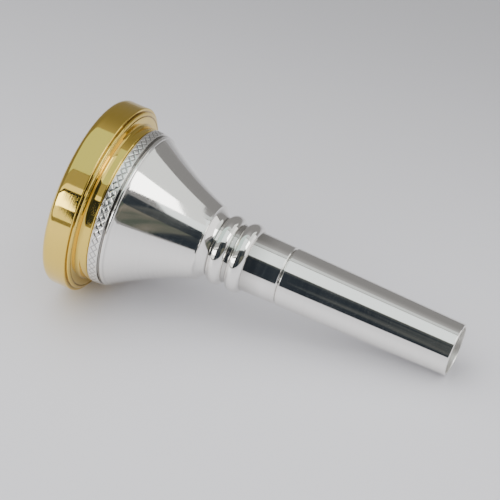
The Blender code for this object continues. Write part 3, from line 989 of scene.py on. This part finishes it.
def surroundings(stage):
    """The room as a gradient of direction: grey at eye level, and light overhead.

    brightness = room + ceiling share^power, where share goes from 0 at eye level to 1 straight up.
    """
    world = bpy.data.worlds.new("room")
    bpy.context.scene.world = world
    world.use_nodes = True
    tree = world.node_tree
    tree.nodes.clear()
    direction = add(tree, "ShaderNodeTexCoord")
    parts = add(tree, "ShaderNodeSeparateXYZ", {"Vector": direction.outputs["Generated"]})
    above = add(tree, "ShaderNodeMapRange", {"Value": parts.outputs["Z"], "From Min": EYE_LEVEL})
    steep = add(tree, "ShaderNodeMath", {0: above.outputs["Result"], 1: OVERHEAD_POWER}, operation="POWER")
    bright = add(tree, "ShaderNodeMath", {
        0: steep.outputs["Value"], 1: stage.ceiling, 2: stage.room,
    }, operation="MULTIPLY_ADD")
    sky = add(tree, "ShaderNodeBackground", {
        "Color": (1.0, 0.985, 0.975, 1.0), "Strength": bright.outputs["Value"],
    })
    add(tree, "ShaderNodeOutputWorld", {"Surface": sky.outputs["Background"]})


def softbox(stage, aim):
    """A large soft light above the object and a little before it, kept out of reflections."""
    data = bpy.data.lights.new("softbox", "AREA")
    data.shape = "SQUARE"
    data.size = SOFTBOX_SIZE
    data.energy = stage.softbox
    light = bpy.data.objects.new("softbox", data)
    light.location = aim + SOFTBOX_PLACE
    light.rotation_euler = (aim - light.location).to_track_quat("-Z", "Y").to_euler()
    light.visible_glossy = False
    light.visible_camera = False
    bpy.context.scene.collection.objects.link(light)


def camera(stage, aim):
    """A long lens that looks down on the object from its side."""
    level, slope = stage.heading, stage.elevation
    forward = Vector((
        -math.sin(level) * math.cos(slope), math.cos(level) * math.cos(slope), -math.sin(slope),
    ))
    data = bpy.data.cameras.new("camera")
    data.sensor_width = SENSOR
    data.lens = stage.lens
    made = bpy.data.objects.new("camera", data)
    made.location = aim - forward * stage.distance
    made.rotation_euler = forward.to_track_quat("-Z", "Y").to_euler()
    bpy.context.scene.collection.objects.link(made)
    bpy.context.scene.camera = made


# ---------------------------------------------------------------- operators


class MOUTHPIECE_OT_rim(bpy.types.Operator):
    """Turn the gold-plated rim that screws onto the cup"""

    bl_idname = "mouthpiece.rim"
    bl_label = "Rim"

    def execute(self, context):
        scene = context.scene
        outline = broken_edges(rim_outline(scene.rim_settings, scene.cup_settings))
        rim = turned("screw_rim", outline, gold_plate(scene.finish_settings), "rim", RIM_SIDES)
        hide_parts("rim")
        return {"FINISHED"}


class MOUTHPIECE_OT_cup(bpy.types.Operator):
    """Turn the silver-plated cup and roll the pattern into its band"""

    bl_idname = "mouthpiece.cup"
    bl_label = "Cup"

    def execute(self, context):
        scene = context.scene
        sizes, top_radius = scene.cup_settings, scene.rim_settings.neck_radius
        silver = silver_plate(scene.finish_settings)
        cup = turned("cup_body", broken_edges(cup_outline(sizes, top_radius)), silver, "cup")
        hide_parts("cup")
        frosted = frosted_silver(scene.finish_settings)
        band = turned("cup_band", band_outline(sizes, top_radius), frosted, "cup", BAND_SIDES,
                      lozenge_pattern(sizes))
        return {"FINISHED"}


class MOUTHPIECE_OT_shank(bpy.types.Operator):
    """Turn the silver-plated shank that screws into the cup"""

    bl_idname = "mouthpiece.shank"
    bl_label = "Shank"

    def execute(self, context):
        scene = context.scene
        silver = bpy.data.materials.get("silver plate") or silver_plate(scene.finish_settings)
        outline = broken_edges(shank_outline(scene.shank_settings))
        bore = reamed_silver(scene.finish_settings)
        shank = turned("shank_tube", outline, silver, "shank", lining=bore)
        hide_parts("shank")
        return {"FINISHED"}


class MOUTHPIECE_OT_seals(bpy.types.Operator):
    """Lay the two nitrile seals in their seats"""

    bl_idname = "mouthpiece.seals"
    bl_label = "Seals"

    def execute(self, context):
        rubber = nitrile(context.scene.finish_settings)
        for node, width in (("rim_o_ring", RIM_SEAL_WIDTH), ("shank_o_ring", SHANK_SEAL_WIDTH)):
            outline = seal_outline(node, width)
            seal = turned(node.replace("o_ring", "seal"), outline, rubber, node, SEAL_SIDES)
            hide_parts(node)
        return {"FINISHED"}


class MOUTHPIECE_OT_stage(bpy.types.Operator):
    """Set up the floor, the light and the camera"""

    bl_idname = "mouthpiece.stage"
    bl_label = "Stage"

    def execute(self, context):
        stage = context.scene.stage_settings
        aim = (CAD_BOX[0] + CAD_BOX[1]) / 2.0 + AIM_OFFSET
        floor_and_backdrop(stage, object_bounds()[0].z)
        panels()
        table_edge(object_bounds()[0].z)
        surroundings(stage)
        softbox(stage, aim)
        camera(stage, aim)
        return {"FINISHED"}


class MOUTHPIECE_PT_panel(bpy.types.Panel):
    """Lists the steps that build the mouthpiece"""

    bl_idname = "MOUTHPIECE_PT_panel"
    bl_label = "Mouthpiece"
    bl_space_type = "VIEW_3D"
    bl_region_type = "UI"
    bl_category = "Mouthpiece"

    def draw(self, context):
        for name, _ in SETTINGS:
            box = self.layout.box()
            group = getattr(context.scene, name)
            for field in group.bl_rna.properties:
                if field.identifier not in {"rna_type", "name"}:
                    box.prop(group, field.identifier)
        for step in STEPS:
            self.layout.operator(step.bl_idname)


SETTINGS = (
    ("finish_settings", FinishSettings),
    ("rim_settings", RimSettings),
    ("cup_settings", CupSettings),
    ("shank_settings", ShankSettings),
    ("stage_settings", StageSettings),
)
STEPS = (
    MOUTHPIECE_OT_rim,
    MOUTHPIECE_OT_cup,
    MOUTHPIECE_OT_shank,
    MOUTHPIECE_OT_seals,
    MOUTHPIECE_OT_stage,
)


def register():
    for name, group in SETTINGS:
        bpy.utils.register_class(group)
        setattr(bpy.types.Scene, name, PointerProperty(type=group))
    for step in (*STEPS, MOUTHPIECE_PT_panel):
        bpy.utils.register_class(step)


def unregister():
    for step in reversed((*STEPS, MOUTHPIECE_PT_panel)):
        bpy.utils.unregister_class(step)
    for name, group in reversed(SETTINGS):
        delattr(bpy.types.Scene, name)
        bpy.utils.unregister_class(group)


def main():
    """Builds everything, in order."""
    register()
    bpy.ops.mouthpiece.rim()
    bpy.ops.mouthpiece.cup()
    bpy.ops.mouthpiece.shank()
    bpy.ops.mouthpiece.seals()
    bpy.ops.mouthpiece.stage()


if __name__ == "__main__":
    main()
